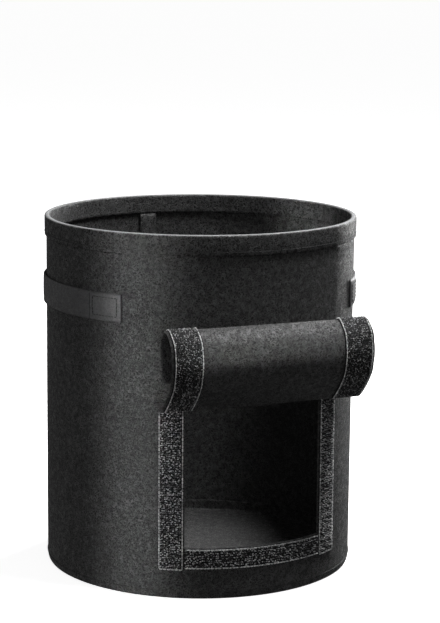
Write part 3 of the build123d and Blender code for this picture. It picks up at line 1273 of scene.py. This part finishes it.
@dataclass
class StrapHandle:
    """Flat felt strap sewn down at both ends, with a free middle that pulls off the wall."""

    form: WallForm
    looks: Finishes
    side: Side
    thickness: float = 2.5 * MM
    gap: float = 0.4 * MM
    inset: float = 5 * MM
    slack: float = 0.5 * MM

    @property
    def ways(self) -> tuple[tuple[str, float], ...]:
        """The two ends, each with the sense in which its angle runs from the handle's middle."""
        sign = math.copysign(1, self.side.value)
        return ("front", -sign), ("back", sign)

    def halves(self) -> None:
        """Free middle of the strap, in two halves that stay where they are made.

        The lift from the wall rises from nothing at the sewn end to the gap along a smooth step.
        """
        name = self.side.name.lower()
        node = f"handle_{name}_grip"
        low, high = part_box(node)
        sewn = math.asin(high.y / (self.form.radius + self.gap + self.thickness))
        seam = math.asin(self.sewn_edges(f"handle_{name}_front_end")[0] / self.form.radius)
        reach = max(sewn, seam)
        share, up = np.meshgrid(np.linspace(0, 1, 29), np.linspace(0, 1, 11))
        for label, sign in self.ways:
            angle = self.side.value + sign * reach * (1 - share)
            height = low.z + (high.z - low.z) * up
            rise = np.clip(share / 0.25, 0, 1)
            lift = self.gap * rise**2 * (3 - 2 * rise) + 0.02 * MM
            lift = lift + self.slack * np.sin(math.pi * share) * rise
            crown = 0.25 * MM * np.sin(math.pi * up)
            outer = self.form.at(angle, height, lift + self.thickness + crown)
            inner = self.form.at(angle, height, lift)
            uv = np.stack([share * reach * self.form.radius, height], axis=-1)
            solid = cloth_shell(
                outer.transpose(1, 0, 2), inner.transpose(1, 0, 2), uv.transpose(1, 0, 2), flat_ends=True
            )
            made = solid.make(f"{name}_strap_{label}_half", self.looks.strap)
            turns = np.array([self.side.value + sign * reach, self.side.value])
            start, end = self.form.at(turns, mid_height(node))
            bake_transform(made)
            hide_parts(node)

    def sewn_edges(self, node: str) -> tuple[float, float]:
        """Reach of a sewn end along Y.

        Args:
            node: Its CAD node.

        Returns:
            Its nearest and farthest distance from the handle's middle.
        """
        low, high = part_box(node)
        near, far = sorted((abs(low.y), abs(high.y)))
        return near, far

    def ends(self) -> Solid:
        """Sewn ends with a box of stitches each.

        Returns:
            The stitches of both ends.
        """
        name = self.side.name.lower()
        rows = []
        for label, sign in self.ways:
            node = f"handle_{name}_{label}_end"
            low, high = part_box(node)
            near, far = self.sewn_edges(node)
            first = math.asin(near / self.form.radius)
            last = math.asin(far / (self.form.radius + self.thickness))
            start, end = sorted((self.side.value + sign * first, self.side.value + sign * last))
            patch = WallPatch(
                self.form, start, end, low.z, high.z, 0.0, self.thickness - 0.3 * MM, step=2.5 * MM,
                pillow=0.5 * MM,
            )
            piece = f"{name}_strap_{label}_end"
            made = fasten(patch.solid(), piece, self.looks.strap, node)
            turn = self.inset / self.form.radius
            left, right = start + turn, end - turn
            bottom, top = low.z + self.inset, high.z - self.inset
            seam = WallSeam(self.form, self.thickness + 0.15 * MM, pitch=4 * MM)
            rows += [seam.row((left, z), (right, z), 91) for z in (bottom, top)]
            rows += [seam.row((line, bottom), (line, top), 92) for line in (left, right)]
        return Solid.join(rows)


# ---- Studio ----

@dataclass
class Studio:
    """Pale floor, soft lights and the camera."""

    distance: float = 2.285
    azimuth_deg: float = -21.9
    height: float = 0.707
    pitch_deg: float = 10.43
    yaw_deg: float = 0.58
    roll: float = 0.008
    lens: float = 117.1
    glow: float = 0.84
    floor_reach: float = 40.0
    floor_flat: float = 12.0

    def floor(self) -> None:
        """Plain pale floor that rises far away into a white background.

        The height is 0 on the flat part and then grows with the square of the distance beyond. The
        floor glows a little, as a lightbox table does, but throws no light on the bag.
        """
        round_turn = np.linspace(0, 2 * math.pi, 65)[:-1]
        far, turn = np.meshgrid(np.linspace(0.0, self.floor_reach, 41), round_turn)
        height = np.clip(far - self.floor_flat, 0, None) ** 2 * 0.03
        points = np.stack([far * np.cos(turn), far * np.sin(turn), height], axis=-1)
        index = np.arange(far.size).reshape(far.shape)
        after = np.roll(index, -1, axis=0)
        quads = np.stack([index[:, :-1], index[:, 1:], after[:, 1:], after[:, :-1]], axis=-1)
        made = bpy.data.meshes.new("studio_floor")
        made.from_pydata(points.reshape(-1, 3).tolist(), [], quads.reshape(-1, 4).tolist())
        paint, shader, _ = blank_material("white_lightbox")
        set_inputs(
            shader, Base_Color=linear("f4f4f4"), Roughness=0.9, Specular_IOR_Level=0.1,
            Emission_Color=(1, 1, 1, 1), Emission_Strength=self.glow,
        )
        made.materials.append(paint)
        floor = bpy.data.objects.new("studio_floor", made)
        floor.visible_diffuse = False
        floor.visible_glossy = False
        bpy.context.scene.collection.objects.link(floor)

    def light(
        self, name: str, place: tuple, size: tuple, power: float,
        aim: tuple = (0.0, 0.0, 0.22), spread_deg: float = 180.0,
    ) -> None:
        """Soft rectangular light, unseen by the camera itself.

        Args:
            name: Name of the light.
            place: Where it stands.
            size: Its width and height.
            power: Power in watts.
            aim: Point that it faces.
            spread_deg: How widely it fans out, as a grid on the lamp sets it.
        """
        lamp = bpy.data.lights.new(name, "AREA")
        lamp.shape = "RECTANGLE"
        lamp.size, lamp.size_y = size
        lamp.energy = power
        lamp.spread = math.radians(spread_deg)
        made = bpy.data.objects.new(name, lamp)
        made.visible_camera = False
        made.location = place
        made.rotation_euler = (Vector(aim) - Vector(place)).to_track_quat("-Z", "Y").to_euler()
        bpy.context.scene.collection.objects.link(made)

    def lights(self) -> None:
        """Soft lights and a white room."""
        self.light("fill_light", (-2.2, -1.2, 0.9), (0.6, 1.2), 7)
        self.light("key_light", (-2.0, -1.25, 0.6), (0.05, 1.1), 0.27, (-0.12, -0.12, 0.24), 3.0)
        self.light("top_light", (0.6, -0.14, 2.3), (1.2, 0.3), 100)
        self.light("roll_light", (0.2, -2.2, 0.95), (0.19, 0.02), 0.013, (0.0, -0.21, 0.284), 1.0)
        self.light("edge_light", (1.75, 1.25, 0.8), (0.4, 1.4), 42)
        world = bpy.data.worlds.new("white_room")
        world.use_nodes = True
        set_inputs(world.node_tree.nodes["Background"], Color=(1, 1, 1, 1), Strength=0.15)
        bpy.context.scene.world = world
        bpy.context.scene.view_settings.view_transform = "Standard"

    def camera(self) -> None:
        """Camera with its long lens, aimed past the bag's axis by a small yaw."""
        turn = math.radians(self.azimuth_deg)
        place = Vector((math.sin(turn) * self.distance, -math.cos(turn) * self.distance, self.height))
        ahead = Vector((-place.x, -place.y, 0)).normalized()
        ahead.rotate(Matrix.Rotation(-math.radians(self.yaw_deg), 3, "Z"))
        pitch = math.radians(self.pitch_deg)
        look = ahead * math.cos(pitch) - Vector((0, 0, math.sin(pitch)))
        right = look.cross(Vector((0, 0, 1))).normalized()
        up = right.cross(look)
        c, s = math.cos(self.roll), math.sin(self.roll)
        right, up = c * right + s * up, -s * right + c * up
        lens = bpy.data.cameras.new("camera")
        lens.lens = self.lens
        lens.sensor_width = 36.0
        lens.sensor_fit = "AUTO"
        made = bpy.data.objects.new("camera", lens)
        made.matrix_world = Matrix.Translation(place) @ Matrix((right, up, -look)).transposed().to_4x4()
        bpy.context.scene.collection.objects.link(made)
        bpy.context.scene.camera = made

    def build(self) -> None:
        """Builds the studio."""
        self.floor()
        self.lights()
        self.camera()


def flap_form(felt: float) -> FlapForm:
    """Reads the flap's hinges from the frame.

    Args:
        felt: Thickness of the felt.

    Returns:
        The curve of the flap.
    """
    hinges = [joint["pos_m"] for joint in frame["joints"] if joint["name"].startswith("flap_")]
    bends = np.array([[-place[1], place[2]] for place in hinges])
    length = float(np.linalg.norm(bends[2] - bends[1]))
    low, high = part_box(f"flap_section_{len(bends)}")
    middle = np.array([-(low.y + high.y) / 2, mid_height(f"flap_section_{len(bends)}")])
    way = (middle - bends[-1]) / np.linalg.norm(middle - bends[-1])
    top_low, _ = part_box("flap_top_edge")
    return FlapForm(-top_low.y, bends, bends[-1] + way * length, high.x, felt)


def main() -> None:
    """Builds the bag, its flap, tapes and handles, and the studio."""
    logging.basicConfig(level=logging.INFO, format="%(message)s")
    _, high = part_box("wall_panel")
    top_low, top_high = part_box("flap_top_edge")
    felt = top_high.z - top_low.z
    form = WallForm(high.x, felt, high.z)
    rim_low, rim_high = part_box("rim_binding")
    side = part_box("hook_tape_right")
    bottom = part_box("hook_tape_bottom")
    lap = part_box("back_seam_lap")
    looks = Finishes(rim_high.z)
    body = FeltBody(
        form, looks,
        window_half=math.asin(side[0].x / form.radius),
        window_bottom=bottom[1].z,
        window_top=side[1].z,
        rim_bottom=rim_low.z,
        rim_top=rim_high.z,
        base_edge=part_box("base_disc")[1].z,
        lap_half=math.asin(lap[1].x / (form.radius - felt)),
        lap_bottom=lap[0].z,
        lap_top=lap[1].z,
    )
    body.build()
    HookTapes(form, looks).build()
    RollUpFlap(form, flap_form(felt), looks).build()
    stitches = []
    for where in Side:
        handle = StrapHandle(form, looks, where)
        stitches.append(handle.ends())
        handle.halves()
    sewn = Solid.join(stitches)
    fasten(sewn, "strap_box_stitches", looks.dark_thread, "handle_stitches")
    Studio().build()


if __name__ == "__main__":
    main()
